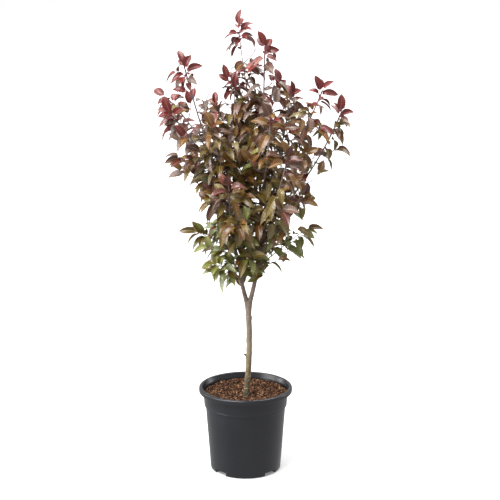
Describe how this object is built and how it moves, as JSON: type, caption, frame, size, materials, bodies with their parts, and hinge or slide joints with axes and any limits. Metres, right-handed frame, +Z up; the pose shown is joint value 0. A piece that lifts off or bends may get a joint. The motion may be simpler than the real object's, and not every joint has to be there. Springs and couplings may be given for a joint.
{
  "type": "potted purple-leaved cherry tree",
  "caption": "Young forked cherry tree with bronze-purple leaves and red shoot tips, standing in a round black nursery pot filled with bark compost.",
  "frame": {"origin": "middle of the pot's flat underside, on the floor", "axes": "+Z up the tree; -Y towards the viewer of the picture, who sees +X on the right"},
  "size_m": [0.6491, 0.5628, 1.4659],
  "materials": {
    "pot": "matte moulded black plastic, a little shinier on the lip",
    "soil": "loose brown bark chips",
    "bark": "smooth young grey-brown bark with fine cross lines",
    "foliage": "thin soft leaves, slightly glossy on top"
  },
  "bodies": {
    "root": {"pot": "pot", "soil": "soil", "trunk": "bark", "right_stem": "bark", "left_stem": "bark", "bough_peak_right": "bark", "bough_high_left": "bark", "bough_wide_left": "bark", "bough_wide_front_left": "bark", "bough_middle_left": "bark", "bough_low_front": "bark", "bough_high_back_right": "bark", "bough_high_right": "bark", "bough_wide_right": "bark", "bough_middle_right": "bark", "bough_middle_back_left": "bark", "bough_wide_back": "bark", "bough_middle_back_right": "bark", "bough_wide_front_right": "bark", "bough_high_front": "bark", "foliage_peak_right": "foliage", "foliage_high_left": "foliage", "foliage_wide_left": "foliage", "foliage_wide_front_left": "foliage", "foliage_middle_left": "foliage", "foliage_low_front": "foliage", "foliage_high_back_right": "foliage", "foliage_high_right": "foliage", "foliage_wide_right": "foliage", "foliage_middle_right": "foliage", "foliage_middle_back_left": "foliage", "foliage_wide_back": "foliage", "foliage_middle_back_right": "foliage", "foliage_wide_front_right": "foliage", "foliage_high_front": "foliage", "foliage_high_back_left": "foliage", "foliage_high_front_left": "foliage", "foliage_low_back_left": "foliage", "foliage_low_back_right": "foliage", "foliage_low_left": "foliage", "foliage_low_right": "foliage", "foliage_lowest_left": "foliage", "foliage_left_spur_1": "foliage", "foliage_left_spur_2": "foliage", "foliage_left_spur_3": "foliage", "foliage_left_spur_4": "foliage", "foliage_left_spur_5": "foliage", "foliage_left_spur_6": "foliage", "foliage_right_spur_1": "foliage", "foliage_right_spur_2": "foliage", "foliage_right_spur_3": "foliage", "foliage_right_spur_4": "foliage", "foliage_right_spur_5": "foliage", "foliage_right_spur_6": "foliage", "foliage_left_top": "foliage", "foliage_right_top": "foliage"}
  },
  "joints": []
}
